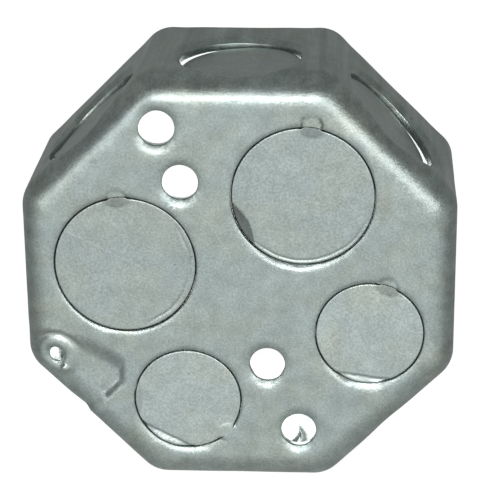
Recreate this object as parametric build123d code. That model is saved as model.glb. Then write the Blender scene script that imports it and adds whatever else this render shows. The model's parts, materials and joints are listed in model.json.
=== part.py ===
from build123d import *
import os
from math import sin, cos, tan, radians, degrees, sqrt, atan2, asin

# Drawn steel octagonal junction box, 3-1/2 in across the flats and 1-1/2 in deep.
# Frame: origin at the centre of the closed back face, +Y runs from the back face
# to the open front, +Z up, +X to the right as the back face is looked at.

# ---------------------------------------------------------------- shell
ACROSS_FLATS = 88.0        # outside, wall to opposite wall
DEPTH = 38.1               # back face to open rim
SHEET = 1.6                # steel sheet
CORNER_R = 7.2             # outside radius of the eight upright corners
BEND_R = 6.6               # outside radius between the back face and the walls
HALF = ACROSS_FLATS / 2.0
INNER = HALF - SHEET

# ---------------------------------------------------------------- knockouts
KO_LARGE_R = 14.45         # 3/4 in trade size hole in the back face
KO_SMALL_R = 11.10         # 1/2 in trade size hole in the back face
KO_SIDE_R = 12.30          # holes in the side walls
KO_SIDE_DEPTH = 16.9       # hole centre behind the back face
KO_GAP = 0.12              # sheared gap between a disc and its hole
BACK_SINK = 0.30           # how far the back discs sit below the face
SIDE_SINK = 1.95           # how far a side disc is struck in, at its tie
SIDE_TILT = 3.2            # degrees, side disc struck in further away from its tie
TIE_W = 3.4                # width of the steel tie left at one point of the edge
TIE_RADIAL = 1.3

# name: centre x, centre z, hole radius, direction of the tie in degrees
BACK_KNOCKOUTS = {
    "back_knockout_large_left": (-22.76, 4.50, KO_LARGE_R, 95.1),
    "back_knockout_large_right": (13.16, 19.46, KO_LARGE_R, 83.4),
    "back_knockout_small_left": (-10.56, -25.13, KO_SMALL_R, -41.8),
    "back_knockout_small_right": (26.75, -9.84, KO_SMALL_R, 71.0),
}
# name: direction of the wall in degrees, side of the tie (+1 counter-clockwise)
SIDE_KNOCKOUTS = {
    "side_knockout_top": (90.0, -1),
    "side_knockout_upper_right": (45.0, 1),
    "side_knockout_upper_left": (135.0, 1),
    "side_knockout_bottom": (-90.0, -1),
    "side_knockout_lower_right": (-45.0, 1),
    "side_knockout_lower_left": (-135.0, 1),
}

# ---------------------------------------------------------------- holes
MOUNT_HOLE_R = 3.6
MOUNT_HOLES = [(-15.77, 33.38), (-11.30, 22.14), (5.90, -17.10), (12.33, -31.89)]
GROUND_XZ = (-38.0, -16.1)
GROUND_R = 1.65            # tapped 8-32, minor radius
GROUND_COLLAR_R = 2.8
GROUND_COLLAR_END = 3.4    # depth of the collar's inner end
RECESS_DEPTH = 1.2
RECESS_MARGIN = 1.3

# ---------------------------------------------------------------- cover ears and screws
EAR_W = 14.0
EAR_LEN = 12.2             # from the wall's outside
EAR_SET = 0.6              # ear face below the rim
EAR_BEND_R = 2.4
COVER_SPACING = 69.85      # 2-3/4 in between the cover screws
COVER_HOLE_R = 2.10        # 8-32
SCREW_R = 2.05
SCREW_LEN = 12.7
HEAD_R = 4.0
HEAD_H = 2.4
HEAD_GAP = 1.2             # head stands off the ear, as screws are supplied
SLOT_W = 1.1
SLOT_D = 1.2

os.makedirs("parts", exist_ok=True)

# Sketch plane whose local x is +X, local y is +Z; its normal is -Y.
BACK = Plane(origin=(0, 0, 0), x_dir=(1, 0, 0), z_dir=(0, -1, 0))


def octagon(half, radius, y):
    """Octagon with rounded corners at depth y."""
    r = half / cos(radians(22.5))
    pts = [(r * cos(radians(22.5 + 45 * k)), r * sin(radians(22.5 + 45 * k))) for k in range(8)]
    pl = Plane(origin=(0, y, 0), x_dir=(1, 0, 0), z_dir=(0, -1, 0))
    with BuildSketch(pl) as sk:
        Polygon(*pts, align=None)
        fillet(sk.vertices(), radius)
    return sk.sketch


def prism(half, radius, y0, y1):
    return extrude(octagon(half, radius, y1), amount=y1 - y0)


def cyl_y(x, z, r, y0, y1):
    """Cylinder along +Y from y0 to y1."""
    return Pos(x, (y0 + y1) / 2.0, z) * Rot(90, 0, 0) * Cylinder(r, y1 - y0)


def wall_frame(phi):
    """Outward normal and counter-clockwise tangent of a wall, in X and Z."""
    a = radians(phi)
    return (cos(a), sin(a)), (-sin(a), cos(a))


def cyl_wall(phi, lateral, depth, r, n0, n1):
    """Cylinder along a wall's normal between the distances n0 and n1 from the axis."""
    n, t = wall_frame(phi)
    m = (n0 + n1) / 2.0
    c = (n[0] * m + t[0] * lateral, depth, n[1] * m + t[1] * lateral)
    pl = Plane(origin=c, x_dir=(0, 1, 0), z_dir=(n[0], 0, n[1]))
    return pl * Cylinder(r, n1 - n0)


# ================================================================= shell
outer = prism(HALF, CORNER_R, 0, DEPTH)
back_edges = outer.faces().sort_by(Axis.Y)[0].edges()
outer = fillet(back_edges, BEND_R)
inner = prism(INNER, CORNER_R - SHEET, SHEET, DEPTH + 5)
back_edges = inner.faces().sort_by(Axis.Y)[0].edges()
inner = fillet(back_edges, BEND_R - SHEET)
shell = outer - inner

# Recess for the ground screw: the corner of the back face pressed inwards.
RECESS = [(-41.2, -11.2), (-36.0, -9.6), (-31.4, -12.4), (-27.9, -14.2), (-25.1, -17.2),
          (-25.1, -21.1), (-31.6, -27.6), (-40.0, -36.0), (-60.0, -16.0)]
with BuildSketch(BACK) as sk_recess:
    Polygon(*RECESS, align=None)
recess_cut = extrude(sk_recess.sketch, amount=-RECESS_DEPTH)
recess_cut += extrude(sk_recess.sketch, amount=2.0)
with BuildSketch(BACK) as sk_pad:
    add(offset(sk_recess.sketch, amount=RECESS_MARGIN, kind=Kind.ARC))
pad = extrude(sk_pad.sketch, amount=-(RECESS_DEPTH + SHEET)) & prism(HALF - 0.4, CORNER_R - 0.4, 0, DEPTH)
# the pad keeps inside the outer surface of the bend
pad = pad & outer
shell = shell + pad
shell = shell - recess_cut
collar = cyl_y(GROUND_XZ[0], GROUND_XZ[1], GROUND_COLLAR_R, RECESS_DEPTH, GROUND_COLLAR_END) & outer
shell = shell + collar
shell = shell - cyl_y(GROUND_XZ[0], GROUND_XZ[1], GROUND_R, -3, 10)

# Knockout holes and plain mounting holes in the back face.
for cx, cz, r, _ in BACK_KNOCKOUTS.values():
    shell = shell - cyl_y(cx, cz, r, -2, 4)
for cx, cz in MOUNT_HOLES:
    shell = shell - cyl_y(cx, cz, MOUNT_HOLE_R, -2, 4)
# Knockout holes in the side walls.
for phi, _ in SIDE_KNOCKOUTS.values():
    shell = shell - cyl_wall(phi, 0, KO_SIDE_DEPTH, KO_SIDE_R, HALF - 4, HALF + 2)

# Two ears bent in from the rim of the left and right walls, tapped for the cover screws.
for side in (1, -1):
    y_out = DEPTH - EAR_SET
    # section of the tab in the X-Y plane: it leaves the wall, bends and runs inwards
    with BuildSketch(Plane(origin=(0, 0, -EAR_W / 2.0), x_dir=(1, 0, 0), z_dir=(0, 0, 1))) as sk_ear:
        with BuildLine():
            Polyline((side * HALF, y_out - 6), (side * HALF, y_out), (side * (HALF - EAR_LEN), y_out),
                     (side * (HALF - EAR_LEN), y_out - SHEET), (side * INNER, y_out - SHEET),
                     (side * INNER, y_out - 6), (side * HALF, y_out - 6))
        make_face()
    ear = extrude(sk_ear.sketch, amount=EAR_W)
    # rounded free end of the tab
    tip = cyl_y(side * COVER_SPACING / 2.0, 0, EAR_W / 2.0, y_out - 8, y_out + 8)
    keep = tip + Pos(side * (COVER_SPACING / 2.0 + 20), y_out, 0) * Box(40, 16, EAR_W)
    shell = shell + (ear & keep)
    shell = shell - cyl_y(side * COVER_SPACING / 2.0, 0, COVER_HOLE_R, y_out - 8, y_out + 8)

shell.label = "box_shell"
export_step(shell, "parts/box_shell.step")


# ================================================================= knockout discs
def back_disc(cx, cz, r, tie_deg):
    disc = cyl_y(cx, cz, r - KO_GAP, BACK_SINK, BACK_SINK + SHEET)
    return disc


for name, (cx, cz, r, tie) in BACK_KNOCKOUTS.items():
    d = back_disc(cx, cz, r, tie)
    d.label = name
    export_step(d, f"parts/{name}.step")


def side_disc(phi, tie_side):
    """Disc struck inwards, still held by its tie at one end of its width."""
    n, t = wall_frame(phi)
    r = KO_SIDE_R - KO_GAP
    # in wall coordinates: local x along the wall from the tie, local z the outward normal
    tie_l = tie_side * KO_SIDE_R
    origin = (n[0] * INNER + t[0] * tie_l, KO_SIDE_DEPTH, n[1] * INNER + t[1] * tie_l)
    away = (-tie_side * t[0], 0, -tie_side * t[1])
    hinge = Plane(origin=origin, x_dir=away, z_dir=(n[0], 0, n[1]))
    top = SHEET - SIDE_SINK
    body = Pos(KO_SIDE_R, 0, top - SHEET / 2.0) * Cylinder(r, SHEET)
    lug = Pos(KO_GAP + TIE_RADIAL / 2.0 + 0.06, 0, (top + 0.9) / 2.0 - 0.1) * Box(TIE_RADIAL, TIE_W, 0.9 - top + 0.2)
    body = body + (lug & (Pos(KO_SIDE_R, 0, 0) * Cylinder(r, 8)))
    # struck in further away from the tie: turn about the hinge line
    body = Rot(0, SIDE_TILT, 0) * body
    return hinge * body


for name, (phi, tie_side) in SIDE_KNOCKOUTS.items():
    d = side_disc(phi, tie_side)
    d.label = name
    export_step(d, f"parts/{name}.step")

# ================================================================= cover screws
for name, side in (("cover_screw_left", -1), ("cover_screw_right", 1)):
    x = side * COVER_SPACING / 2.0
    y_face = DEPTH - EAR_SET
    y_head = y_face + HEAD_GAP
    shank = cyl_y(x, 0, SCREW_R, y_head - SCREW_LEN, y_head + 0.5)
    tip_edges = shank.faces().sort_by(Axis.Y)[0].edges()
    shank = chamfer(tip_edges, 0.5)
    head = cyl_y(x, 0, HEAD_R, y_head, y_head + HEAD_H)
    rim_edges = head.faces().sort_by(Axis.Y)[-1].edges()
    head = fillet(rim_edges, 1.5)
    screw = shank + head
    screw = screw - Pos(x, y_head + HEAD_H, 0) * Box(SLOT_W, 2 * SLOT_D, 20)
    screw.label = name
    export_step(screw, f"parts/{name}.step")
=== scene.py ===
import json
import math
import bpy
import numpy as np
from mathutils import Matrix, Vector, geometry, noise

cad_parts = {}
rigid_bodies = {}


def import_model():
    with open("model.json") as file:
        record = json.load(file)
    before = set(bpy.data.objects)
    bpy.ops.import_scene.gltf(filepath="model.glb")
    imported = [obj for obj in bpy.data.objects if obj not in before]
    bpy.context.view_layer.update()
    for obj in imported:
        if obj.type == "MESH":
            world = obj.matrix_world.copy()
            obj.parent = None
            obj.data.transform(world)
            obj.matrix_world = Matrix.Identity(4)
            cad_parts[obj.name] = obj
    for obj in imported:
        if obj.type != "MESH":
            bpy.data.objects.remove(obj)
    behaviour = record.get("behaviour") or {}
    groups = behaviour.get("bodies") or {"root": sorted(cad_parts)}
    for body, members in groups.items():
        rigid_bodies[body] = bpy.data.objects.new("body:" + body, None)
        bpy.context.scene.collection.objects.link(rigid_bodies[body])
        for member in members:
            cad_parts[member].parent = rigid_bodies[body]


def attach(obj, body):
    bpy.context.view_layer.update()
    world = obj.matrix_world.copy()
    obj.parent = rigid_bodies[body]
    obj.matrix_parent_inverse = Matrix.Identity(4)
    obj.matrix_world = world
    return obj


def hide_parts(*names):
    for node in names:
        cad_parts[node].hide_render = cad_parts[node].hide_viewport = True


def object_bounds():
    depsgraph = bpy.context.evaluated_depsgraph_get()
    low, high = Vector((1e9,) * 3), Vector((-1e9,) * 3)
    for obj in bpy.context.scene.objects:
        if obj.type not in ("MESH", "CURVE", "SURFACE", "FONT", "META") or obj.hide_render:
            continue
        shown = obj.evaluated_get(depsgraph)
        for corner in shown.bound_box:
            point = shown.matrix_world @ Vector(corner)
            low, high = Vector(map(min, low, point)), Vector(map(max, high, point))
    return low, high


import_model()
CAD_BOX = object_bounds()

MM = 0.001
# ------------------------------------------------------------------ sizes, mm, same frame as the CAD
HALF, DEPTH, T = 44.0, 38.1, 1.6
RC, BR = 7.2, 6.6
K0 = HALF - RC                     # half size of the sharp octagon whose offsets make the outlines
D_FLAT = RC - BR                   # the bend starts this far outside that octagon
D_WALL = D_FLAT + BR * math.pi / 2
D_RIM = D_WALL + DEPTH - BR
KOL, KOS, KOW, KOD = 14.45, 11.10, 12.30, 16.9
GAP, SINK = 0.12, 0.30
BACK_KO = {
    "back_knockout_large_left": (-22.76, 4.50, KOL, 95.1),
    "back_knockout_large_right": (13.16, 19.46, KOL, 83.4),
    "back_knockout_small_left": (-10.56, -25.13, KOS, -41.8),
    "back_knockout_small_right": (26.75, -9.84, KOS, 71.0),
}
SIDE_KO = {
    "side_knockout_top": (90.0, -1),
    "side_knockout_upper_right": (45.0, 1),
    "side_knockout_upper_left": (135.0, 1),
    "side_knockout_bottom": (-90.0, -1),
    "side_knockout_lower_right": (-45.0, 1),
    "side_knockout_lower_left": (-135.0, 1),
}
HOLES = [(-15.77, 33.38), (-11.30, 22.14), (5.90, -17.10), (12.33, -31.89)]
HOLE_R = 3.6
GND, GND_R = (-38.1, -16.1), 1.80
RECESS = 1.2
COVER_X, EAR_W, EAR_SET = 34.925, 14.0, 0.6
rng = np.random.default_rng(7)


def sstep(x):
    x = np.clip(x, 0.0, 1.0)
    return x * x * (3 - 2 * x)


def vnoise(p, scale, seed=0.0):
    """Smooth noise, -1..1, at points p (N,3) in mm."""
    return np.array([noise.noise(Vector((float(a) / scale + seed, float(b) / scale - seed, float(c) / scale + 2 * seed))) for a, b, c in p])


def new_mesh(name, verts, faces):
    me = bpy.data.meshes.new(name)
    me.from_pydata([tuple(float(c) * MM for c in v) for v in verts], [], [tuple(int(i) for i in f) for f in faces])
    me.validate()
    me.update()
    ob = bpy.data.objects.new(name, me)
    bpy.context.scene.collection.objects.link(ob)
    return ob


def finish_mesh(ob, smooth=True):
    import bmesh
    bm = bmesh.new()
    bm.from_mesh(ob.data)
    bmesh.ops.remove_doubles(bm, verts=bm.verts, dist=1e-7)
    bmesh.ops.recalc_face_normals(bm, faces=bm.faces)
    bm.to_mesh(ob.data)
    bm.free()
    for p in ob.data.polygons:
        p.use_smooth = smooth
    ob.data.update()


def add_attr(ob, name, values):
    a = ob.data.attributes.new(name, "FLOAT", "POINT")
    a.data.foreach_set("value", np.asarray(values, dtype=np.float32))


# ------------------------------------------------------------------ the drawn shell as one sheet
# Flat pattern (p, q): inside the octagon K0 it is the back face; the distance d outside K0 runs over
# the rest of the face, round the bend and along the wall to the rim.
NK = np.array([(math.cos(math.radians(45 * k)), math.sin(math.radians(45 * k))) for k in range(8)])
VK = np.array([(math.cos(math.radians(22.5 + 45 * k)), math.sin(math.radians(22.5 + 45 * k))) for k in range(8)]) * K0 / math.cos(math.radians(22.5))


def closest(P):
    """Closest point on the octagon K0, distance and direction, for points of the flat pattern."""
    best_d = np.full(len(P), 1e9)
    best_c = np.zeros_like(P)
    for k in range(8):
        a, b = VK[k - 1], VK[k]
        e = b - a
        s = np.clip(((P - a) @ e) / (e @ e), 0, 1)
        c = a + s[:, None] * e
        d = np.linalg.norm(P - c, axis=1)
        m = d < best_d
        best_d[m] = d[m]
        best_c[m] = c[m]
    inside = (P @ NK.T).max(axis=1) <= K0 + 1e-9
    d = np.where(inside, 0.0, best_d)
    n = np.where(inside[:, None], 0.0, (P - best_c) / np.maximum(best_d, 1e-9)[:, None])
    c = np.where(inside[:, None], P, best_c)
    return c, d, n


def sheet(P):
    """Nominal outer skin: position, outward normal, bend angle (0 face, pi/2 wall)."""
    c, d, n = closest(P)
    phi = np.clip((d - D_FLAT) / BR, 0, math.pi / 2)
    out = np.where(d <= D_FLAT, d, np.where(d <= D_WALL, D_FLAT + BR * np.sin(phi), RC))
    y = np.where(d <= D_FLAT, 0.0, np.where(d <= D_WALL, BR * (1 - np.cos(phi)), BR + d - D_WALL))
    xz = c + n * out[:, None]
    pos = np.stack([xz[:, 0], y, xz[:, 1]], 1)
    nrm = np.stack([n[:, 0] * np.sin(phi), -np.cos(phi), n[:, 1] * np.sin(phi)], 1)
    return pos, nrm, phi, d


def wall_point(phi_deg, lateral, depth):
    """Flat-pattern point of a place on a wall."""
    a = math.radians(phi_deg)
    n = np.array([math.cos(a), math.sin(a)])
    t = np.array([-math.sin(a), math.cos(a)])
    return n * (K0 + D_WALL + depth - BR) + t * lateral


# hole list in the flat pattern: centre, radius, segments, kind
HOLE_LIST = []
for nm, (cx, cz, r, tie) in BACK_KO.items():
    HOLE_LIST.append(((cx, cz), r, 150 if r > 12 else 120, "back"))
for cx, cz in HOLES:
    HOLE_LIST.append(((cx, cz), HOLE_R, 56, "plain"))
HOLE_LIST.append((GND, GND_R, 40, "ground"))
for nm, (phi, side) in SIDE_KO.items():
    HOLE_LIST.append((tuple(wall_point(phi, 0, KOD)), KOW, 136, "side"))
LIP = 0.16          # rounding of every cut edge
RINGS = {"back": [0.10, 0.24, 0.42, 0.66, 0.96, 1.35, 1.85, 2.5, 3.3],
         "plain": [0.10, 0.24, 0.44, 0.70, 1.02, 1.4, 1.9, 2.5, 3.1],
         "ground": [0.10, 0.22, 0.36, 0.55, 0.78, 1.05, 1.4, 1.8, 2.2, 2.6, 3.0, 3.4, 3.8, 4.2],
         "side": [0.12, 0.28, 0.5, 0.78, 1.1, 1.5, 2.0, 2.6, 3.4]}

pts, loops = [], []
for (cx, cz), r, seg, kind in HOLE_LIST:
    a = np.linspace(0, 2 * math.pi, seg, endpoint=False)
    first = len(pts)
    pts += list(np.stack([cx + (r + LIP) * np.cos(a), cz + (r + LIP) * np.sin(a)], 1))
    loops.append(list(range(first, first + seg)))
ring_pts = []


def clear_of(P, skip=None, margin=0.0):
    """Which points keep clear of every hole's cut edge, by the given margin."""
    ok = np.ones(len(P), bool)
    for i, ((cx, cz), r, seg, kind) in enumerate(HOLE_LIST):
        if i == skip:
            continue
        rr = np.hypot(P[:, 0] - cx, P[:, 1] - cz)
        ok &= rr > r + LIP + margin
    return ok


CENTRES = np.array([h[0] for h in HOLE_LIST])
RADII = np.array([h[1] for h in HOLE_LIST])


def ring_owner(P):
    """For each point the hole whose edge is nearest."""
    dd = np.stack([np.hypot(P[:, 0] - c[0], P[:, 1] - c[1]) - r for c, r in zip(CENTRES, RADII)], 1)
    return dd.argmin(1), dd.min(1)


for i, ((cx, cz), r, seg, kind) in enumerate(HOLE_LIST):
    for j, e in enumerate(RINGS[kind]):
        a = np.linspace(0, 2 * math.pi, seg, endpoint=False) + (0.5 * math.pi / seg * 2) * ((j + 1) % 2)
        P = np.stack([cx + (r + LIP + e) * np.cos(a), cz + (r + LIP + e) * np.sin(a)], 1)
        own, dd = ring_owner(P)
        ok = own == i
        _, d, _ = closest(P)
        ok &= d < D_RIM - 0.4
        ring_pts.append(P[ok])
ring_pts = np.concatenate(ring_pts)

# structured rows round the bend and along the walls, and a fine grid on the face
rows = list(np.linspace(D_FLAT, D_WALL, 17)) + list(np.arange(D_WALL + 1.1, D_RIM - 0.35, 1.15)) + [D_RIM - 0.25]
row_pts = []
flat_l = K0 * math.tan(math.radians(22.5))
for d in rows:
    for k in range(8):
        n, t = NK[k], np.array([-NK[k][1], NK[k][0]])
        for l in np.linspace(-flat_l, flat_l, 27):
            row_pts.append(n * (K0 + d) + t * l)
        for s in np.linspace(0, 45, 11)[1:-1]:
            a = math.radians(45 * k + s)
            row_pts.append(VK[k] + d * np.array([math.cos(a), math.sin(a)]))
row_pts = np.array(row_pts)
g = []
step = 0.92
for i, qq in enumerate(np.arange(-K0, K0, step * 0.866)):
    for pp in np.arange(-K0 + (step / 2) * (i % 2), K0, step):
        g.append((pp, qq))
g = np.array(g)
g = g[(g @ NK.T).max(axis=1) < K0 - 0.15]
fine = np.array([(pp, qq) for pp in np.arange(-43, -21, 0.42) for qq in np.arange(-34, -8, 0.42)])
inzone = ((fine @ NK.T).max(axis=1) < K0 + D_FLAT - 0.2)
fine = fine[inzone]
gz = ~((g[:, 0] < -21) & (g[:, 1] > -34) & (g[:, 1] < -8))
g = g[gz]


def keep_far(P, extra):
    ok = np.ones(len(P), bool)
    for i, ((cx, cz), r, seg, kind) in enumerate(HOLE_LIST):
        rr = np.hypot(P[:, 0] - cx, P[:, 1] - cz)
        ok &= rr > r + LIP + RINGS[kind][-1] + extra
    return ok


row_pts = row_pts[keep_far(row_pts, 0.35)]
g = g[keep_far(g, 0.35)]
fine = fine[keep_far(fine, 0.2)]
rim = []
for k in range(8):
    n, t = NK[k], np.array([-NK[k][1], NK[k][0]])
    for l in np.linspace(-flat_l, flat_l, 53)[:-1]:
        rim.append(n * (K0 + D_RIM - LIP) + t * l)
    for s in np.linspace(0, 45, 21)[:-1]:
        a = math.radians(45 * k + s)
        rim.append(VK[k] + (D_RIM - LIP) * np.array([math.cos(a), math.sin(a)]))
rim = np.array(rim)
base_n = len(pts)
allp = np.concatenate([np.array(pts), rim, ring_pts, row_pts, g, fine])
rim_loop = list(range(base_n, base_n + len(rim)))
edges = []
for lp in loops + [rim_loop]:
    edges += [(lp[i], lp[(i + 1) % len(lp)]) for i in range(len(lp))]
res = geometry.delaunay_2d_cdt([Vector((float(a), float(b))) for a, b in allp], edges, [], 0, 1e-5, True)
V2 = np.array([(v.x, v.y) for v in res[0]])
src = res[3]
remap = {}
for new_i, olds in enumerate(res[3]):
    for o in olds:
        remap[o] = new_i
tris = np.array([f for f in res[2] if len(f) == 3])
cent = V2[tris].mean(axis=1)
keep = np.ones(len(tris), bool)
for (cx, cz), r, seg, kind in HOLE_LIST:
    keep &= np.hypot(cent[:, 0] - cx, cent[:, 1] - cz) > (r + LIP) * math.cos(math.pi / seg) - 1e-4
_, dc, _ = closest(cent)
keep &= dc < D_RIM - LIP - 1e-4
A, B, C = V2[tris[:, 0]], V2[tris[:, 1]], V2[tris[:, 2]]
area = 0.5 * ((B[:, 0] - A[:, 0]) * (C[:, 1] - A[:, 1]) - (B[:, 1] - A[:, 1]) * (C[:, 0] - A[:, 0]))
keep &= np.abs(area) > 1e-7
tris = tris[keep]
area = area[keep]
tris[area < 0] = tris[area < 0][:, ::-1]
LOOPS = [[remap[i] for i in lp] for lp in loops]
RIMLOOP = [remap[i] for i in rim_loop]

pos, nrm, phi, dd = sheet(V2)

# ---------------------------------------------------------------- press and handling marks, along the normal
h = np.zeros(len(V2))
edge_mask = np.zeros(len(V2))


def roll(cx, cz, r, a, w, wide_a=0.0, wide_w=1.0, lobes=(), ripple=0.0):
    """Edge of a punched hole drawn inwards; lobes: (angle, half width, extra depth, extra width)."""
    rr = np.hypot(V2[:, 0] - cx, V2[:, 1] - cz)
    e = np.maximum(rr - r, 0)
    th = np.degrees(np.arctan2(V2[:, 1] - cz, V2[:, 0] - cx))
    aa = np.full(len(V2), a)
    ww = np.full(len(V2), w)
    for (ang, hw, ea, ew) in lobes:
        dth = (th - ang + 180) % 360 - 180
        gk = np.exp(-(dth / hw) ** 2)
        aa = aa + ea * gk
        ww = ww + ew * gk
    u = np.radians(th)
    wave = 0.5 * np.sin(3 * u + cx) + 0.35 * np.sin(7 * u + 2.1 * cz) + 0.3 * np.sin(11 * u + cx - cz) + 0.2 * np.sin(19 * u + cz)
    aa = aa * (1 + ripple * wave)
    ww = ww * (1 + 0.5 * ripple * np.sin(5 * u + cz))
    f = np.clip(1 - e / ww, 0, 1)
    out = -aa * f ** 2
    if wide_a:
        out = out - wide_a * np.clip(1 - e / wide_w, 0, 1) ** 2
    return out, np.clip(1 - e / 0.7, 0, 1)


LOBES = {
    0: [(-90, 40, 0.10, 0.3)],
    1: [(-95, 22, 0.40, 1.3), (-140, 25, 0.1, 0.3)],
    2: [(-82, 30, 0.40, 1.4), (-150, 25, 0.15, 0.4)],
    3: [(-95, 38, 0.45, 1.5)],
}
for i, ((cx, cz), r, seg, kind) in enumerate(HOLE_LIST):
    if kind == "back":
        o, m = roll(cx, cz, r, 0.34, 1.0, 0.06, 3.0, LOBES[i], 0.26)
    elif kind == "plain":
        o, m = roll(cx, cz, r, 0.62, 2.3, 0.10, 3.2, [(-95, 50, 0.25, 0.4)], 0.08)
    elif kind == "side":
        ph_, sd_ = list(SIDE_KO.values())[i - (len(HOLE_LIST) - len(SIDE_KO))]
        tdir = math.degrees(math.atan2(sd_ * math.cos(math.radians(ph_)), -sd_ * math.sin(math.radians(ph_))))
        o, m = roll(cx, cz, r, 0.95, 1.9, 0.10, 3.4, [(tdir, 36, -0.93, 0.0)], 0.06)
        o = np.minimum(o, 0.0)
    else:
        continue
    h += o
    edge_mask = np.maximum(edge_mask, m)

# ground corner: pressed-in floor, steep at its lower right, soft above, with a raised ring round the tapped hole
q = V2


def half(px, pz, nx, nz, soft, bias=0.0):
    l = math.hypot(nx, nz)
    return sstep(((q[:, 0] - px) * nx + (q[:, 1] - pz) * nz) / l / soft + bias)


def smin(vals, k):
    """Rounded minimum of several 0..1 fields."""
    acc = sum(np.exp(-v / k) for v in vals)
    return np.clip(-k * np.log(acc / len(vals)), 0, 1)


def slope(px, pz, nx, nz, wide):
    """Rises from 0 at the line, ever steeper, to a crease at the edge of the floor."""
    l = math.hypot(nx, nz)
    t_ = np.clip(((q[:, 0] - px) * nx + (q[:, 1] - pz) * nz) / l / wide, 0, 1)
    return np.where(t_ < 0.95, (t_ / 0.95) ** 1.25, 1.0)


fl = smin([slope(-23.75, -22.5, -0.69, 0.725, 1.85), slope(-23.1, -19.0, -1.0, 0.02, 1.95), half(-27.0, -11.4, -0.16, -1.0, 5.4), half(-28.6, -12.0, -0.5, -0.86, 5.0)], 0.03)
rho = np.hypot(q[:, 0] - GND[0], q[:, 1] - GND[1])
gang = np.degrees(np.arctan2(q[:, 1] - GND[1], q[:, 0] - GND[0]))
circ = sstep((6.4 - rho) / 2.2)
deep = RECESS + 0.30
floor_d = deep * np.maximum(fl, circ * 0.92)
ringf = 0.30 + 0.70 * (0.5 + 0.5 * np.cos(np.radians(gang - 68))) ** 1.4
base = np.interp(rho, [0, 1.75, 1.95, 2.2, 2.6, 3.1, 3.6, 4.1, 4.7, 5.4, 6.3], [1.9, 1.86, 1.62, 1.45, 1.28, 1.18, 1.15, 1.18, 1.30, 1.45, 1.5])
high = np.interp(rho, [0, 1.75, 1.95, 2.2, 2.6, 3.1, 3.6, 4.1, 4.7, 5.4, 6.3], [1.9, 1.86, 1.48, 1.16, 0.82, 0.60, 0.55, 0.68, 1.00, 1.38, 1.5])
prof = base * (1 - ringf) + high * ringf
wmix = sstep((6.0 - rho) / 1.0)
floor_d = floor_d * (1 - wmix) + prof * wmix
shallow = np.clip(np.cos(phi), 0, 1)
floor_d *= shallow ** 1.25
h -= floor_d
edge_mask = np.maximum(edge_mask, np.clip(1 - np.abs(rho - 1.9) / 0.5, 0, 1))
# small round bead of zinc beside the tapped hole
bead = np.hypot(q[:, 0] + 36.2, q[:, 1] + 18.95)
h += 0.62 * np.sqrt(np.clip(1 - (bead / 0.92) ** 2, 0, 1))

# round press marks over the ties of the back knockouts
TIES = {}
for nm, (cx, cz, r, tie) in BACK_KO.items():
    a = math.radians(tie)
    rad = r - 0.15 if nm != "back_knockout_large_right" else r + 0.8
    TIES[nm] = (cx + rad * math.cos(a), cz + rad * math.sin(a))
TIE_R = 2.15


TIE_DEPTH = 0.34
BUMP = "back_knockout_small_left"          # this tie stands up as a small round bump instead
painted_shade_shell = np.ones(len(V2))


def tie_frame(P, nm):
    """Distances from the middle of the tie: outwards from the disc and sideways."""
    cx, cz, r, tie = BACK_KO[nm]
    a = math.radians(tie)
    x, z = P[:, 0] - cx - r * math.cos(a), P[:, 1] - cz - r * math.sin(a)
    return x * math.cos(a) + z * math.sin(a), -x * math.sin(a) + z * math.cos(a)


def tie_bowl(P, nm):
    """0 outside the press mark, 1 at its middle."""
    tx, tz = TIES[nm]
    s = np.hypot(P[:, 0] - tx, P[:, 1] - tz)
    return sstep((TIE_R - s) / 0.55) * (0.85 + 0.15 * np.clip(1 - (s / TIE_R) ** 2, 0, 1))


def tie_lens(P, nm):
    """1 at the edge of the disc by the tie, falling to 0 along a flat lens inside it."""
    o_, l_ = tie_frame(P, nm)
    e = np.sqrt((l_ / 3.0) ** 2 + (np.minimum(o_, 0) / 2.1) ** 2)
    return np.clip(1 - e, 0, 1)


for nm in BACK_KO:
    b = tie_bowl(V2, nm)
    near = sstep(b / 0.3)
    s_ = np.hypot(V2[:, 0] - TIES[nm][0], V2[:, 1] - TIES[nm][1])
    o_, l_ = tie_frame(V2, nm)
    if nm == BUMP:
        h = h * (1 - near) - near * 0.10 + 0.08 * b
    else:
        h = h * (1 - near) - TIE_DEPTH * b
        # painted shade: a dark arc is painted along the rim of each press mark, to either side of the tie
        rim_shade = 0.85 if nm == "back_knockout_large_right" else 0.50
        painted_shade_shell *= 1 - rim_shade * np.exp(-((s_ - TIE_R + 0.12) / 0.22) ** 2) * sstep((np.abs(l_) - 0.9) / 0.9) * (o_ > 0.1)
# painted shade: the slopes of the pressed-in corner are darkened by up to 16%
painted_shade_shell *= 1 - 0.16 * np.exp(-((fl - 0.5) / 0.33) ** 2) * (1 - wmix)

# soft unevenness of drawn sheet
p3 = pos.copy()
h += 0.07 * vnoise(p3, 17.0, 3.1) + 0.028 * vnoise(p3, 6.0, 9.7)
h += 0.010 * vnoise(p3, 2.2, 5.3)
# shallow drawing waves near the upright corners
ang = np.degrees(np.arctan2(pos[:, 2], pos[:, 0]))
onwall = sstep((dd - D_WALL) / 6.0)
crest = 0.5 * (1 + np.cos(np.radians(8 * ang)))         # 1 in the middle of a wall, 0 at a corner
h -= onwall * (0.05 + 0.12 * crest * sstep((pos[:, 1] - 8) / 26))
h -= onwall * 0.10 * np.exp(-((np.abs(((ang + 22.5) % 45) - 22.5) - 16.0) / 3.2) ** 2) * sstep((pos[:, 1] - 12) / 20)
h = np.where(dd > D_WALL, np.minimum(h, 0.0), h)
h = np.minimum(h, 0.0)

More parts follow.
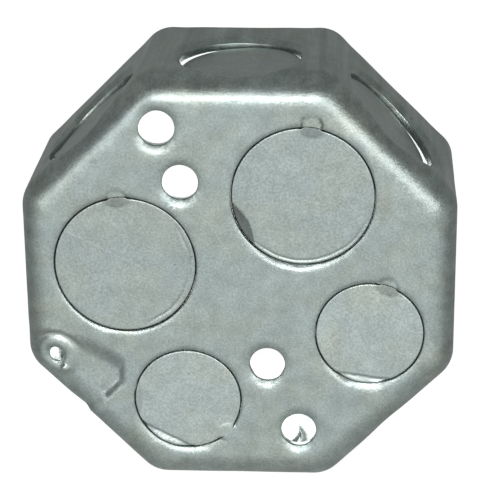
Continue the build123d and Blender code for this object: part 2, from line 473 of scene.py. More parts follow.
outer = pos + nrm * h[:, None]
thick = T - 1.15 * sstep((3.4 - rho) / 1.0)          # the tapped hole's land is thin
inner = pos + nrm * (h - thick)[:, None]
n2 = len(V2)
verts = [tuple(v) for v in outer] + [tuple(v) for v in inner]
faces = [tuple(t[::-1]) for t in tris] + [(t[0] + n2, t[1] + n2, t[2] + n2) for t in tris]
attr_edge = list(edge_mask) + list(edge_mask)
attr_wall = list(np.sin(phi)) * 2


def lip(loop, inward, bulge=LIP):
    """Cut edge between the outer and inner skins, slightly rounded at both arrises."""
    global verts, faces
    ts = [0.0, 0.05, 0.13, 0.35, 0.62, 0.88, 0.96, 1.0]
    bs = [0.0, 0.70, 1.0, 1.0, 0.92, 0.80, 0.5, 0.0]
    rows_i = [list(loop)]
    for tt, bb in zip(ts[1:-1], bs[1:-1]):
        row = []
        for k, i in enumerate(loop):
            o, s = np.array(verts[i]), np.array(verts[i + n2])
            v = o * (1 - tt) + s * tt + inward[k] * bulge * bb
            row.append(len(verts))
            verts.append(tuple(v))
            attr_edge.append(1.0)
            attr_wall.append(attr_wall[i])
        rows_i.append(row)
    rows_i.append([i + n2 for i in loop])
    m = len(loop)
    for a, b in zip(rows_i[:-1], rows_i[1:]):
        for k in range(m):
            k2 = (k + 1) % m
            faces.append((a[k], a[k2], b[k2], b[k]))


for lp, ((cx, cz), r, seg, kind) in zip(LOOPS, HOLE_LIST):
    P = V2[lp]
    c3, _, _, _ = sheet(np.array([[cx, cz]]))
    dirs = c3[0] - pos[lp]
    nn = nrm[lp]
    dirs = dirs - nn * (dirs * nn).sum(1)[:, None]
    dirs /= np.linalg.norm(dirs, axis=1)[:, None]
    lip(lp, dirs)
lip(RIMLOOP, np.tile(np.array([0.0, 1.0, 0.0]), (len(RIMLOOP), 1)))

# the two ears, as closed solids of the same mesh
def add_solid(vs, fs, edge=0.3, wall=0.0):
    first = len(verts)
    verts.extend(vs)
    attr_edge.extend([edge] * len(vs))
    attr_wall.extend([wall] * len(vs))
    faces.extend([tuple(first + i for i in f) for f in fs])




def ear(side):
    """Tab bent in from the rim with a rounded end and a tapped hole."""
    y1, y0 = DEPTH - EAR_SET, DEPTH - EAR_SET - T
    cx, rr, hr = side * COVER_X, EAR_W / 2.0, 2.10
    seg = 64
    outline, hole = [], []
    for s in range(seg):
        a = 2 * math.pi * s / seg
        hole.append((cx + hr * math.cos(a), hr * math.sin(a)))
        d = np.array([math.cos(a), math.sin(a)])
        if side * d[0] <= 0:
            outline.append((cx + rr * d[0], rr * d[1]))
        else:
            k = min(rr / max(abs(d[1]), 1e-6), (HALF - 0.75 - COVER_X) / max(abs(d[0]), 1e-6))
            outline.append((cx + k * d[0], k * d[1]))
    O, I = np.array(outline), np.array(hole)
    levels = [(y1 - 0.25, 0.0, 0.0), (y1 - 0.08, 0.08, 0.06), (y1, 0.28, 0.22), (y1, 1.0, 1.0)]
    c = np.array([cx, 0.0])
    vs, fs = [], []

    def ring(P, y):
        first = len(vs)
        for x, z in P:
            # the tab comes off the wall in a small bend
            yy = y
            vs.append((x, yy, z))
        return list(range(first, first + seg))

    def shrink(P, k):
        d = P - c
        return c + d * (1 - k / np.linalg.norm(d, axis=1))[:, None]

    R = [ring(O, y0 + 0.25), ring(O, y1 - 0.3), ring(shrink(O, 0.09), y1 - 0.09), ring(shrink(O, 0.3), y1),
         ring(I + (I - c) * 0.10, y1), ring(I + (I - c) * 0.02, y1 - 0.10), ring(I, y1 - 0.35), ring(I, y0 + 0.3), ring(I + (I - c) * 0.06, y0),
         ring(shrink(O, 0.3), y0)]
    m = len(R)
    for i in range(m):
        a, b = R[i], R[(i + 1) % m]
        for k in range(seg):
            k2 = (k + 1) % seg
            fs.append((a[k], a[k2], b[k2], b[k]))
    return vs, fs


for side in (1, -1):
    add_solid(*ear(side), edge=0.25)

shell = new_mesh("shell_formed", verts, faces)
me = shell.data
ok_attr = len(me.vertices) == len(attr_edge)
if ok_attr:
    add_attr(shell, "edge", attr_edge)
    add_attr(shell, "wall", attr_wall)
    add_attr(shell, "tone", list(painted_shade_shell) * 2 + [0.8] * (len(attr_wall) - 2 * n2))
import bmesh
bm = bmesh.new()
bm.from_mesh(me)
bmesh.ops.recalc_face_normals(bm, faces=bm.faces)
bm.to_mesh(me)
bm.free()
for p in me.polygons:
    p.use_smooth = True
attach(shell, "box")
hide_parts("box_shell")


# ------------------------------------------------------------------ knockout discs
def disc_mesh(name, R, place, top_fn, seg=128, roll_a=0.20, roll_w=0.7, tie=None, tone=None, flange=0.0):
    """Sheared disc: rolled outer arris, straight sides, sharper inner arris. place maps local (x, y, up) to the frame."""
    rad = [0.0]
    rad = list(np.concatenate([np.linspace(0.8, R - 3.2, max(6, int((R - 3.2) / 0.85))), R - np.array([2.9, 2.6, 2.3, 2.05, 1.8, 1.55, 1.3, 1.08, 0.85, 0.64, 0.46, 0.32, 0.20, 0.10, 0.03])]))
    loc, kinds, efs = [], [], []
    fs = []
    ang = np.linspace(0, 2 * math.pi, seg, endpoint=False)

    def ring(r, z, e):
        first = len(loc)
        for a in ang:
            loc.append((r * math.cos(a), r * math.sin(a), z))
            efs.append(e)
        return list(range(first, first + seg))

    top_rings = [ring(r, -roll_a * max(0.0, 1 - (R - r) / roll_w) ** 2, max(0.0, 1 - (R - r) / 0.5)) for r in rad]
    side_rings = [ring(R + dr_, z, 1.0) for z, dr_ in ((-roll_a - 0.06, 0.0), (-0.42, 0.0), (-0.56, flange), (-1.0, flange), (-1.45, flange * 0.9))]

    bot_rings = [ring(r, -T, max(0.0, 1 - (R - r) / 0.5)) for r in [R + flange * 0.9 - 0.12] + list(np.linspace(R - 0.8, 0.8, 12))]
    seq = top_rings + side_rings + bot_rings
    for a, b in zip(seq[:-1], seq[1:]):
        for k in range(seg):
            k2 = (k + 1) % seg
            fs.append((a[k], b[k], b[k2], a[k2]))
    loc.append((0.0, 0.0, 0.0)); efs.append(0.0)
    tc = len(loc) - 1
    loc.append((0.0, 0.0, -T)); efs.append(0.0)
    bc = len(loc) - 1
    for k in range(seg):
        k2 = (k + 1) % seg
        fs.append((tc, seq[0][k], seq[0][k2]))
        fs.append((bc, seq[-1][k2], seq[-1][k]))
    L = np.array(loc)
    if tie is not None:
        # the tie bridges the gap: the edge reaches the wall of the hole there
        th = np.degrees(np.arctan2(L[:, 1], L[:, 0]))
        rr = np.hypot(L[:, 0], L[:, 1])
        dth = np.radians((th - tie + 180) % 360 - 180) * R
        k = sstep((TIE_R * 0.86 - np.abs(dth)) / 0.35) * sstep((rr - R + 0.6) / 0.5)
        grow = 1 + k * np.where(L[:, 2] > -0.5, GAP + 0.13 + LIP * 0.7, 0.0) / np.maximum(rr, 1)
        L[:, 0] *= grow
        L[:, 1] *= grow
        L[:, 2] += k * np.where(L[:, 2] > -0.5, -L[:, 2], 0.0)
    L[:, 2] += top_fn(L)
    tones = tone(L) if tone is not None else np.ones(len(L))
    W = place(L)
    ob = new_mesh(name, W, fs)
    add_attr(ob, "edge", efs)
    add_attr(ob, "wall", [0.0] * len(efs))
    add_attr(ob, "tone", tones)
    bm = bmesh.new()
    bm.from_mesh(ob.data)
    bmesh.ops.recalc_face_normals(bm, faces=bm.faces)
    bm.to_mesh(ob.data)
    bm.free()
    for p in ob.data.polygons:
        p.use_smooth = True
    return ob


# flattened edge facets left by the strike: direction, how far in from the edge, slope, softness, and a painted-shade
# factor that darkens the facet (1 for none)
FACETS = {
    "back_knockout_large_left": [],
    "back_knockout_large_right": [(206, 2.5, 0.10, 0.5, 0.27)],
    "back_knockout_small_left": [(180, 1.7, -0.12, 0.4, 0.84), (243, 1.5, -0.52, 0.4, 1.0)],
    "back_knockout_small_right": [(262, 1.3, -0.40, 0.4, 1.0)],
}
for idx, (nm, (cx, cz, r, tie)) in enumerate(BACK_KO.items()):
    R = r - GAP - 0.13
    facets = FACETS[nm]

    def top_fn(L, cx=cx, cz=cz, R=R, nm=nm, facets=facets, idx=idx, r_big=r > 12):
        P = np.stack([L[:, 0] + cx, L[:, 1] + cz], 1)
        rr = np.hypot(L[:, 0], L[:, 1])
        b = tie_bowl(P, nm)
        if nm == BUMP:
            z = np.where(L[:, 2] > -1.0, 0.27 * b ** 0.6, 0.0)
        else:
            z = np.where(L[:, 2] > -1.0, 0.22 * np.sqrt(tie_lens(P, nm)), 0.0)
        for ang_, w, slope, soft, shade in facets:
            a = math.radians(ang_)
            s = L[:, 0] * math.cos(a) + L[:, 1] * math.sin(a) - (R - w)
            if slope > 0:
                z = z - slope * np.log1p(np.exp(np.clip(s / (soft * 0.35), -30, 30))) * soft * 0.35
            else:
                cr = vnoise(np.stack([L[:, 0], np.zeros(len(L)), L[:, 1]], 1), 1.5, 3.3)
                up = np.clip(s / w, 0, 1)
                z = z + abs(slope) * (-0.95 * sstep((s + 0.35 + 0.3 * cr) / 0.5) + 1.25 * up * (1 + 0.55 * cr))
        if nm == "back_knockout_large_left":
            z = z - 0.24 * sstep((L[:, 0] / R - 0.05) / 0.9)
        if r_big:
            # second line inside the edge, where the punch dragged the sheet
            dg = np.degrees(np.arctan2(L[:, 1], L[:, 0]))
            mid, span, off, dep = (-18, 62, 1.15, 0.24) if nm == "back_knockout_large_left" else (-78, 66, 0.75, 0.22)
            win = sstep((span - np.abs(dg - mid)) / 22.0)
            wob = 0.16 * vnoise(np.stack([L[:, 0], np.zeros(len(L)), L[:, 1]], 1), 2.2, 5.5)
            z = z - dep * win * np.exp(-((R - rr - off * (0.45 + 0.55 * win) + wob) / 0.22) ** 2) * (L[:, 2] > -0.7)
        z = np.minimum(z, SINK - 0.04)
        p = np.stack([L[:, 0], np.full(len(L), 11.0 * idx), L[:, 1]], 1)
        z = z + 0.035 * vnoise(p, 11.0, 4.2) + 0.012 * vnoise(p, 3.4, 8.8)
        z = z - 0.10 * (rr / R) ** 4 * 0.3
        return z

    def tone(L, cx=cx, cz=cz, R=R, nm=nm, facets=facets, small=r < 12):
        t_ = np.full(len(L), 1.13 if small else 1.0)
        for ang_, w, slope, soft, shade in facets:
            a = math.radians(ang_)
            p = np.stack([L[:, 0], np.zeros(len(L)), L[:, 1]], 1)
            rr = np.hypot(L[:, 0], L[:, 1])
            dth = (np.degrees(np.arctan2(L[:, 1], L[:, 0])) - ang_ + 180) % 360 - 180
            # painted shade: the lens of each facet is darkened by its shade factor
            s = w * 0.84 * (1 - (dth / 21.5) ** 2) - (R - rr) + 0.10 * vnoise(p, 1.6, 2.2)
            t_ = t_ * (1 - (1 - shade) * sstep(s / 0.22 + 0.5) * (L[:, 2] > -0.7))
        # painted shade: the flat lens inside the disc by the tie is darkened by 26%
        b = tie_lens(np.stack([L[:, 0] + cx, L[:, 1] + cz], 1), nm)
        return t_ * (1 - 0.26 * sstep(b / 0.10) * (nm != BUMP) * (L[:, 2] > -0.7))

    ob = disc_mesh("disc_" + nm, R, lambda L, cx=cx, cz=cz: np.stack([cx + L[:, 0], SINK - L[:, 2], cz + L[:, 1]], 1), top_fn, seg=150 if r > 12 else 120, roll_a=0.10, roll_w=0.35, tie=tie, tone=tone, flange=GAP + 0.13 - 0.03)
    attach(ob, nm)
    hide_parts(nm)

# how far each wall disc is struck in at its tie (mm), and its tilt away from the tie (degrees)
SIDE_SET = {"side_knockout_top": (1.05, 3.4), "side_knockout_upper_right": (1.05, 3.6), "side_knockout_upper_left": (1.15, 2.2)}
for idx, (nm, (phi_d, side)) in enumerate(SIDE_KO.items()):
    a = math.radians(phi_d)
    n = np.array([math.cos(a), 0, math.sin(a)])
    t = np.array([-math.sin(a), 0, math.cos(a)])
    hinge = n * (HALF - T) + t * (side * KOW) + np.array([0, KOD, 0])
    ex = -side * t
    ez = n
    ey = np.cross(ez, ex)
    R = KOW - GAP
    sink, tilt = SIDE_SET.get(nm, (1.3, 3.2))
    top = T - sink
    ca, sa = math.cos(math.radians(tilt)), math.sin(math.radians(tilt))

    def place(L, hinge=hinge, ex=ex, ey=ey, ez=ez, top=top, ca=ca, sa=sa):
        x = L[:, 0] + KOW
        y = L[:, 1]
        z = L[:, 2] + top
        x2 = ca * x + sa * z
        z2 = -sa * x + ca * z
        return hinge + np.outer(x2, ex) + np.outer(y, ey) + np.outer(z2, ez)

    def top_fn(L, R=R, idx=idx, sink=sink):
        rr = np.hypot(L[:, 0], L[:, 1])
        # the steel tie: the disc's edge is pulled up to the wall there
        lift = (sink - 0.6) * np.exp(-(L[:, 1] / 1.9) ** 2) * np.exp(-((L[:, 0] + R) / 1.5) ** 2)
        p = np.stack([L[:, 0], np.full(len(L), 7.0 * idx), L[:, 1]], 1)
        return lift - 0.22 * (rr / R) ** 6 + 0.03 * vnoise(p, 9.0, 6.1) + 0.01 * vnoise(p, 3.0, 1.3)

    ob = disc_mesh("disc_" + nm, R, place, top_fn, seg=132, roll_a=0.35, roll_w=1.1)
    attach(ob, nm)
    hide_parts(nm)


# ------------------------------------------------------------------ cover screws
def screw(name, side):
    cx = side * COVER_X
    y_face = DEPTH - EAR_SET
    y_head = y_face + 1.2
    y_tip = y_head - 12.7
    pitch = 25.4 / 32
    seg = 40
    vs, fs, rings = [], [], []
    ys = np.arange(y_tip + 0.0, y_head + 1e-6, pitch / 9)

    def ring(rf, y):
        first = len(vs)
        for s in range(seg):
            a = 2 * math.pi * s / seg
            r = rf(a) if callable(rf) else rf
            vs.append((cx + r * math.cos(a), y, r * math.sin(a)))
        rings.append(list(range(first, first + seg)))

    for y in ys:
        fade = min(1.0, (y - y_tip) / 0.9)
        ring(lambda a, y=y, fade=fade: (1.62 + 0.38 * abs(2 * (((y / pitch) + a / (2 * math.pi)) % 1.0) - 1) + 0.05) * (0.80 + 0.20 * fade), y)
    for r, y in ((2.0, y_head), (3.55, y_head), (3.88, y_head + 0.12), (4.0, y_head + 0.45), (3.96, y_head + 0.95), (3.80, y_head + 1.4),
                 (3.45, y_head + 1.82), (2.9, y_head + 2.12), (2.1, y_head + 2.31), (1.1, y_head + 2.39), (0.4, y_head + 2.40)):
        ring(r, y)
    for a, b in zip(rings[:-1], rings[1:]):
        for k in range(seg):
            k2 = (k + 1) % seg
            fs.append((a[k], a[k2], b[k2], b[k]))
    vs.append((cx, y_tip - 0.0, 0.0)); c0 = len(vs) - 1
    vs.append((cx, y_head + 2.40, 0.0)); c1 = len(vs) - 1
    for k in range(seg):
        k2 = (k + 1) % seg
        fs.append((c0, rings[0][k2], rings[0][k]))
        fs.append((c1, rings[-1][k], rings[-1][k2]))
    ob = new_mesh(name, vs, fs)
    finish_mesh(ob)
    # straight slot across the head
    w, d = 0.55, 1.25
    y2 = y_head + 2.4
    bx = []
    turn = math.radians(28 if side > 0 else -52)
    for sx in (-w, w):
        for sy in (y2 - d, y2 + 2):
            for sz in (-6.0, 6.0):
                x, z = sx * math.cos(turn) - sz * math.sin(turn), sx * math.sin(turn) + sz * math.cos(turn)
                bx.append((cx + x, sy, z))
    bf = [(0, 1, 3, 2), (4, 6, 7, 5), (0, 4, 5, 1), (2, 3, 7, 6), (0, 2, 6, 4), (1, 5, 7, 3)]
    cut = new_mesh(name + "_cut", bx, bf)
    finish_mesh(cut, False)
    mod = ob.modifiers.new("slot", "BOOLEAN")
    mod.operation = "DIFFERENCE"
    mod.solver = "EXACT"
    mod.object = cut
    bev = ob.modifiers.new("soft", "BEVEL")
    bev.width = 0.06 * MM
    bev.segments = 2
    bev.limit_method = "ANGLE"
    bev.angle_limit = math.radians(50)
    dg = bpy.context.evaluated_depsgraph_get()
    me2 = bpy.data.meshes.new_from_object(ob.evaluated_get(dg))
    ob.modifiers.clear()
    ob.data = me2
    bpy.data.objects.remove(cut)
    for p in ob.data.polygons:
        p.use_smooth = True
    ob.data.set_sharp_from_angle(angle=math.radians(40))
    add_attr(ob, "tone", [1.0] * len(ob.data.vertices))
    return ob


screws = {}
for nm, side in (("cover_screw_left", -1), ("cover_screw_right", 1)):
    ob = screw("slotted_" + nm, side)
    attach(ob, nm)
    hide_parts(nm)
    screws[nm] = ob


# ------------------------------------------------------------------ materials
def zinc(name, base, dark, rough=0.34, seed=0.0, streak=1.0, grain=1.0, scratches=()):
    m = bpy.data.materials.new(name)
    m.use_nodes = True
    nt = m.node_tree
    N, L = nt.nodes, nt.links
    for nd in list(N):
        N.remove(nd)
    out = N.new("ShaderNodeOutputMaterial")
    bsdf = N.new("ShaderNodeBsdfPrincipled")
    bsdf.inputs["Metallic"].default_value = 1.0
    L.new(bsdf.outputs[0], out.inputs[0])
    tc = N.new("ShaderNodeTexCoord")

    def mapping(scale, off=(0, 0, 0)):
        mp = N.new("ShaderNodeMapping")
        mp.inputs["Scale"].default_value = scale
        mp.inputs["Location"].default_value = (off[0] + seed, off[1] + seed * 0.7, off[2] - seed)
        L.new(tc.outputs["Object"], mp.inputs["Vector"])
        return mp

    def noise_tex(mp, scale, detail=3, rough_=0.55, dist=0.0):
        n = N.new("ShaderNodeTexNoise")
        n.inputs["Scale"].default_value = scale
        n.inputs["Detail"].default_value = detail
        n.inputs["Roughness"].default_value = rough_
        n.inputs["Distortion"].default_value = dist
        L.new(mp.outputs[0], n.inputs["Vector"])
        return n

    def ramp(src, p0, p1, c0=(0, 0, 0, 1), c1=(1, 1, 1, 1)):
        r = N.new("ShaderNodeValToRGB")
        r.color_ramp.elements[0].position = p0
        r.color_ramp.elements[1].position = p1
        r.color_ramp.elements[0].color = c0
        r.color_ramp.elements[1].color = c1
        L.new(src, r.inputs[0])
        return r

    def mix(fac, a, b, mode="MIX"):
        mx = N.new("ShaderNodeMix")
        mx.data_type = "RGBA"
        mx.blend_type = mode
        if isinstance(fac, float):
            mx.inputs["Factor"].default_value = fac
        else:
            L.new(fac, mx.inputs["Factor"])
        for sock, v in ((mx.inputs[6], a), (mx.inputs[7], b)):
            if isinstance(v, tuple):
                sock.default_value = v
            else:
                L.new(v, sock)
        return mx.outputs[2]

    def math_(op, a, b=None, clamp=False):
        mt = N.new("ShaderNodeMath")
        mt.operation = op
        mt.use_clamp = clamp
        for sock, v in ((mt.inputs[0], a), (mt.inputs[1], b)):
            if v is None:
                continue
            if isinstance(v, (int, float)):
                sock.default_value = v
            else:
                L.new(v, sock)
        return mt.outputs[0]

    iso = mapping((1, 1, 1))
    long_ = mapping((1, 0.06, 1), (3, 1, 2))
    mott = noise_tex(iso, 260, 4, 0.6)           # mottling, about 4 mm
    cloud = noise_tex(iso, 62, 3, 0.5, 0.4)      # stains, about 16 mm
    speck = noise_tex(iso, 2300, 2, 0.6)         # speckle, under half a millimetre
    fine = noise_tex(iso, 5200, 1, 0.5)
    strk = noise_tex(long_, 420, 4, 0.65)        # drawing streaks along the walls
    wall = N.new("ShaderNodeAttribute")
    wall.attribute_name = "wall"
    edge = N.new("ShaderNodeAttribute")
    edge.attribute_name = "edge"

    tone = N.new("ShaderNodeAttribute")
    tone.attribute_name = "tone"
    c = mix(ramp(mott.outputs["Fac"], 0.34, 0.68).outputs[0], dark, base)
    tcol = N.new("ShaderNodeCombineColor")
    for k_ in range(3):
        L.new(tone.outputs["Fac"], tcol.inputs[k_])
    c = mix(1.0, c, tcol.outputs[0], "MULTIPLY")
    hue = noise_tex(mapping((1, 1, 1), (7, 5, 1)), 95, 2, 0.5, 0.6)
    c = mix(ramp(hue.outputs["Fac"], 0.38, 0.66).outputs[0], c, mix(1.0, c, (1.045, 1.0, 0.945, 1), "MULTIPLY"))
    c = mix(ramp(cloud.outputs["Fac"], 0.55, 0.78, (0, 0, 0, 1), (0.55, 0.55, 0.55, 1)).outputs[0], c, tuple(0.80 * v for v in base[:3]) + (1,))
    sp = ramp(speck.outputs["Fac"], 0.32, 0.70, (0.76, 0.765, 0.77, 1), (1.14, 1.14, 1.14, 1))
    c = mix(0.85 * grain if grain < 1.17 else 1.0, c, sp.outputs[0], "MULTIPLY")
    st = ramp(strk.outputs["Fac"], 0.34, 0.66, (0.70, 0.71, 0.68, 1), (1.08, 1.08, 1.08, 1))
    stw = math_("MULTIPLY", wall.outputs["Fac"], 0.85 * streak, True)
    c = mix(stw, c, mix(1.0, c, st.outputs[0], "MULTIPLY"))
    pits = noise_tex(iso, 900, 2, 0.5)
    pm = ramp(pits.outputs["Fac"], 0.735, 0.765)
    c = mix(math_("MULTIPLY", pm.outputs[0], 0.55), c, (0.10, 0.11, 0.10, 1))
    # long fine scratches: start and end in the plane of the back, millimetres
    sep = N.new("ShaderNodeSeparateXYZ")
    L.new(tc.outputs["Object"], sep.inputs[0])
    wob = noise_tex(iso, 700, 2, 0.5)
    smask = None
    for (x0, z0, x1, z1, wd) in scratches:
        ln = math.hypot(x1 - x0, z1 - z0)
        dx, dz = (x1 - x0) / ln, (z1 - z0) / ln
        px = math_("SUBTRACT", sep.outputs["X"], x0 * MM)
        pz = math_("SUBTRACT", sep.outputs["Z"], z0 * MM)
        u = math_("ADD", math_("MULTIPLY", px, dx), math_("MULTIPLY", pz, dz))
        v = math_("SUBTRACT", math_("MULTIPLY", pz, dx), math_("MULTIPLY", px, dz))
        v = math_("ADD", v, math_("MULTIPLY", math_("SUBTRACT", wob.outputs["Fac"], 0.5), 0.00016))
        near_ = math_("LESS_THAN", math_("ABSOLUTE", v), wd * MM)
        a0 = math_("GREATER_THAN", u, 0.0)
        a1 = math_("LESS_THAN", u, ln * MM)
        mk = math_("MULTIPLY", math_("MULTIPLY", near_, a0), a1)
        mk = math_("MULTIPLY", mk, ramp(speck.outputs["Fac"], 0.40, 0.52).outputs[0])
        smask = mk if smask is None else math_("MAXIMUM", smask, mk)
    if smask is not None:
        c = mix(math_("MULTIPLY", smask, 0.5), c, (0.74, 0.78, 0.77, 1))
    L.new(c, bsdf.inputs["Base Color"])

    r = math_("ADD", math_("MULTIPLY", mott.outputs["Fac"], 0.16), rough - 0.08)
    r = math_("ADD", r, math_("MULTIPLY", speck.outputs["Fac"], 0.10))
    r = math_("SUBTRACT", r, math_("MULTIPLY", edge.outputs["Fac"], 0.05), True)
    L.new(r, bsdf.inputs["Roughness"])

    b1 = N.new("ShaderNodeBump")
    b1.inputs["Strength"].default_value = 0.55 * grain
    b1.inputs["Distance"].default_value = 0.00007
    L.new(math_("ADD", speck.outputs["Fac"], math_("MULTIPLY", fine.outputs["Fac"], 0.5)), b1.inputs["Height"])
    b2 = N.new("ShaderNodeBump")
    b2.inputs["Strength"].default_value = 0.5
    b2.inputs["Distance"].default_value = 0.00012
    L.new(mott.outputs["Fac"], b2.inputs["Height"])
    L.new(b1.outputs[0], b2.inputs["Normal"])
    b3 = N.new("ShaderNodeBump")
    b3.inputs["Distance"].default_value = 0.00010
    b3.inputs["Strength"].default_value = 0.6
    L.new(math_("MULTIPLY", strk.outputs["Fac"], math_("MULTIPLY", wall.outputs["Fac"], streak)), b3.inputs["Height"])
    L.new(b2.outputs[0], b3.inputs["Normal"])
    L.new(b3.outputs[0], bsdf.inputs["Normal"])
    return m


mat_shell = zinc("zinc_sheet_shell", (0.475, 0.545, 0.540, 1), (0.375, 0.430, 0.420, 1), 0.31,
                 scratches=[(-6.0, 14.5, 1.5, 2.0, 0.04), (22.5, 8.5, 31.0, 4.5, 0.045), (-8.5, -2.0, -3.0, -12.5, 0.035), (14.0, -24.0, 21.0, -19.5, 0.035)])
mat_disc = zinc("zinc_sheet_discs", (0.465, 0.530, 0.525, 1), (0.395, 0.448, 0.440, 1), 0.35, seed=4.0, streak=0.0,
                scratches=[(-34.5, 11.7, -15.6, 2.1, 0.055), (10.0, 19.6, 26.0, 16.1, 0.04)])
mat_screw = zinc("zinc_screws", (0.58, 0.60, 0.59, 1), (0.50, 0.52, 0.51, 1), 0.24, seed=9.0, streak=0.0, grain=0.4)
shell.data.materials.clear()
shell.data.materials.append(mat_shell)
for ob in list(bpy.context.scene.objects):
    if ob.type == "MESH" and ob.name.startswith("disc_"):
        ob.data.materials.clear()
        ob.data.materials.append(mat_disc)
for ob in screws.values():
    ob.data.materials.clear()
    ob.data.materials.append(mat_screw)

# ------------------------------------------------------------------ floor, light, camera
FLOOR_Z = CAD_BOX[0][2]
bpy.ops.mesh.primitive_plane_add(size=14, location=(0, 0, FLOOR_Z))
floor = bpy.context.object
floor.name = "studio_floor"
mf = bpy.data.materials.new("studio_floor")
mf.use_nodes = True
fb = mf.node_tree.nodes["Principled BSDF"]
fb.inputs["Base Color"].default_value = (0.45, 0.45, 0.45, 1)
fb.inputs["Roughness"].default_value = 0.9
fb.inputs["Specular IOR Level"].default_value = 0.0
fb.inputs["Emission Color"].default_value = (1, 1, 1, 1)
fb.inputs["Emission Strength"].default_value = 0.86
floor.data.materials.append(mf)
floor.visible_glossy = False


def area(name, loc, target, size, size_y, power, color=(1, 1, 1)):
    ld = bpy.data.lights.new(name, "AREA")
    ld.shape = "RECTANGLE"
    ld.size, ld.size_y = size, size_y
    ld.energy = power
    ld.color = color
    lo = bpy.data.objects.new(name, ld)
    bpy.context.scene.collection.objects.link(lo)
    lo.location = loc
    lo.rotation_euler = (Vector(target) - Vector(loc)).to_track_quat("-Z", "Y").to_euler()
    return lo


# softbox just above the camera, and a weaker one on each side
area("softbox_front", (0.0, -1.9, 0.86), (0, 0, 0), 1.5, 0.62, 18)
area("softbox_left", (-1.25, -1.5, 0.52), (0, 0, 0), 0.8, 0.42, 3.2)
area("softbox_right", (1.25, -1.5, 0.50), (0, 0, 0), 1.0, 0.46, 5.8)
# small round fill that lights the inside through the open front
fl_ = bpy.data.lights.new("opening_fill", "AREA")
fl_.shape = "DISK"
fl_.size = 0.072
fl_.energy = 0.042
flo = bpy.data.objects.new("opening_fill", fl_)
bpy.context.scene.collection.objects.link(flo)
flo.location = (0.0, 0.066, 0.0)
flo.rotation_euler = Vector((0, -1, 0)).to_track_quat("-Z", "Y").to_euler()
flo.visible_camera = False

# plain white surround, seen by the camera alone
bpy.ops.mesh.primitive_uv_sphere_add(radius=9.0, segments=48, ring_count=24, location=(0, 0, 0))
dome = bpy.context.object
dome.name = "studio_surround"
md = bpy.data.materials.new("studio_surround")
md.use_nodes = True
for nd in list(md.node_tree.nodes):
    md.node_tree.nodes.remove(nd)
mo = md.node_tree.nodes.new("ShaderNodeOutputMaterial")
em = md.node_tree.nodes.new("ShaderNodeEmission")
em.inputs[0].default_value = (1, 1, 1, 1)
em.inputs[1].default_value = 1.0
md.node_tree.links.new(em.outputs[0], mo.inputs[0])
dome.data.materials.append(md)
for a_ in ("visible_diffuse", "visible_glossy", "visible_transmission", "visible_volume_scatter", "visible_shadow"):
    setattr(dome, a_, False)

world = bpy.data.worlds.new("studio")
bpy.context.scene.world = world
world.use_nodes = True
wn, wl = world.node_tree.nodes, world.node_tree.links
for nd in list(wn):
    wn.remove(nd)
wo = wn.new("ShaderNodeOutputWorld")
bg = wn.new("ShaderNodeBackground")
wl.new(bg.outputs[0], wo.inputs[0])
wt = wn.new("ShaderNodeTexCoord")
sx = wn.new("ShaderNodeSeparateXYZ")
wl.new(wt.outputs["Generated"], sx.inputs[0])
mp_ = wn.new("ShaderNodeMath")
mp_.operation = "MULTIPLY_ADD"
mp_.inputs[1].default_value = 0.5
mp_.inputs[2].default_value = 0.5
wl.new(sx.outputs["Z"], mp_.inputs[0])


def sky(levels):
    """Brightness of the surroundings by height: 0 straight down, 0.5 level, 1 straight up."""
    r_ = wn.new("ShaderNodeValToRGB")
    es = r_.color_ramp.elements
    for e_, (p_, v_) in zip((es[0], es[1]), (levels[0], levels[-1])):
        e_.position = p_
        e_.color = (v_ * 0.965, v_, v_ * 0.975, 1)
    for p_, v_ in levels[1:-1]:
        e_ = es.new(p_)
        e_.color = (v_ * 0.965, v_, v_ * 0.985, 1)
    wl.new(mp_.outputs[0], r_.inputs[0])
    return r_


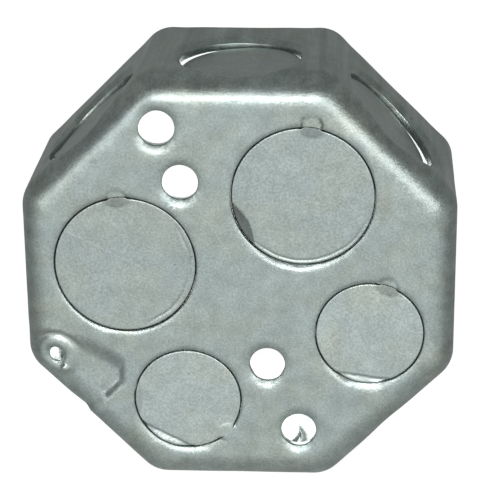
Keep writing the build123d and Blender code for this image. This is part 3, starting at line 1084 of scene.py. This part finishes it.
front = sky([(0.0, 0.52), (0.10, 0.60), (0.22, 0.84), (0.31, 1.0), (0.42, 1.0), (0.52, 0.82), (0.60, 0.48), (0.69, 0.25), (0.80, 0.15), (0.90, 0.11), (1.0, 0.28)])
back = sky([(0.0, 0.52), (0.15, 0.42), (0.30, 0.34), (0.50, 0.30), (0.62, 0.30), (0.70, 0.29), (0.82, 0.30), (0.92, 0.32), (1.0, 0.30)])
side = wn.new("ShaderNodeMapRange")
side.interpolation_type = "SMOOTHSTEP"
for k_, v_ in (("From Min", 0.15), ("From Max", -0.85), ("To Min", 0.0), ("To Max", 1.0)):
    side.inputs[k_].default_value = v_
wl.new(sx.outputs["Y"], side.inputs["Value"])
wm = wn.new("ShaderNodeMix")
wm.data_type = "RGBA"
wl.new(side.outputs[0], wm.inputs["Factor"])
wl.new(back.outputs[0], wm.inputs[6])
wl.new(front.outputs[0], wm.inputs[7])
wl.new(wm.outputs[2], bg.inputs[0])
bg.inputs[1].default_value = 1.0

S = 88.0 / 101.6
el, az, dist, roll_deg, f_px, tx, ty = 22.06, 3.77, 491.9 * S * MM, -0.63, 2110.0, 237.6, 287.9
cd = bpy.data.cameras.new("camera")
cam = bpy.data.objects.new("camera", cd)
bpy.context.scene.collection.objects.link(cam)
e_, a_ = math.radians(el), math.radians(az)
loc = Vector((math.sin(a_) * math.cos(e_), -math.cos(a_) * math.cos(e_), math.sin(e_))) * dist
fwd = (-loc).normalized()
right = fwd.cross(Vector((0, 0, 1))).normalized()
up = right.cross(fwd)
rr_ = math.radians(roll_deg)
r2 = right * math.cos(rr_) + up * math.sin(rr_)
u2 = -right * math.sin(rr_) + up * math.cos(rr_)
M = Matrix((r2, u2, -fwd)).transposed().to_4x4()
M.translation = loc
cam.matrix_world = M
cd.sensor_width = 36.0
cd.lens = f_px / 500.0 * 36.0
cd.shift_x = (239.5 - tx) / 500.0
cd.shift_y = (ty - 250.0) / 500.0
cd.clip_start = 0.01
bpy.context.scene.camera = cam

bpy.context.scene.view_settings.view_transform = "Standard"
bpy.context.scene.view_settings.look = "None"
bpy.context.scene.view_settings.exposure = 0.0
bpy.context.scene.view_settings.gamma = 1.0
